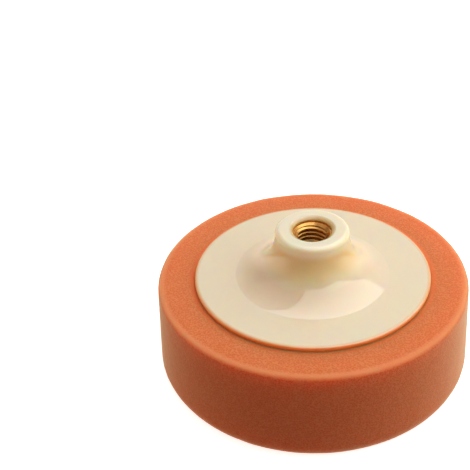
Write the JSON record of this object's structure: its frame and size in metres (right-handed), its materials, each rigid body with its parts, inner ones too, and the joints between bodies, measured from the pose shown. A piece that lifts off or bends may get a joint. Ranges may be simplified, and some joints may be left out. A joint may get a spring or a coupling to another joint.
{
  "type": "foam polishing pad",
  "caption": "Foam polishing pad for a rotary polisher: a thick foam disc bonded to a flared plastic backing plate with a threaded brass insert in its hub.",
  "frame": {"origin": "centre of the polishing face, on which the pad stands", "axes": "+Z along the spindle axis, from the polishing face towards the hub; X and Y are equivalent"},
  "size_m": [0.15, 0.15, 0.0775],
  "materials": {
    "foam": "matte",
    "adhesive": "satin",
    "nylon": "gloss",
    "brass": "satin"
  },
  "bodies": {
    "root": {"foam_disc": "foam", "adhesive_layer": "adhesive", "backing_plate": "nylon", "threaded_insert": "brass"}
  },
  "joints": []
}
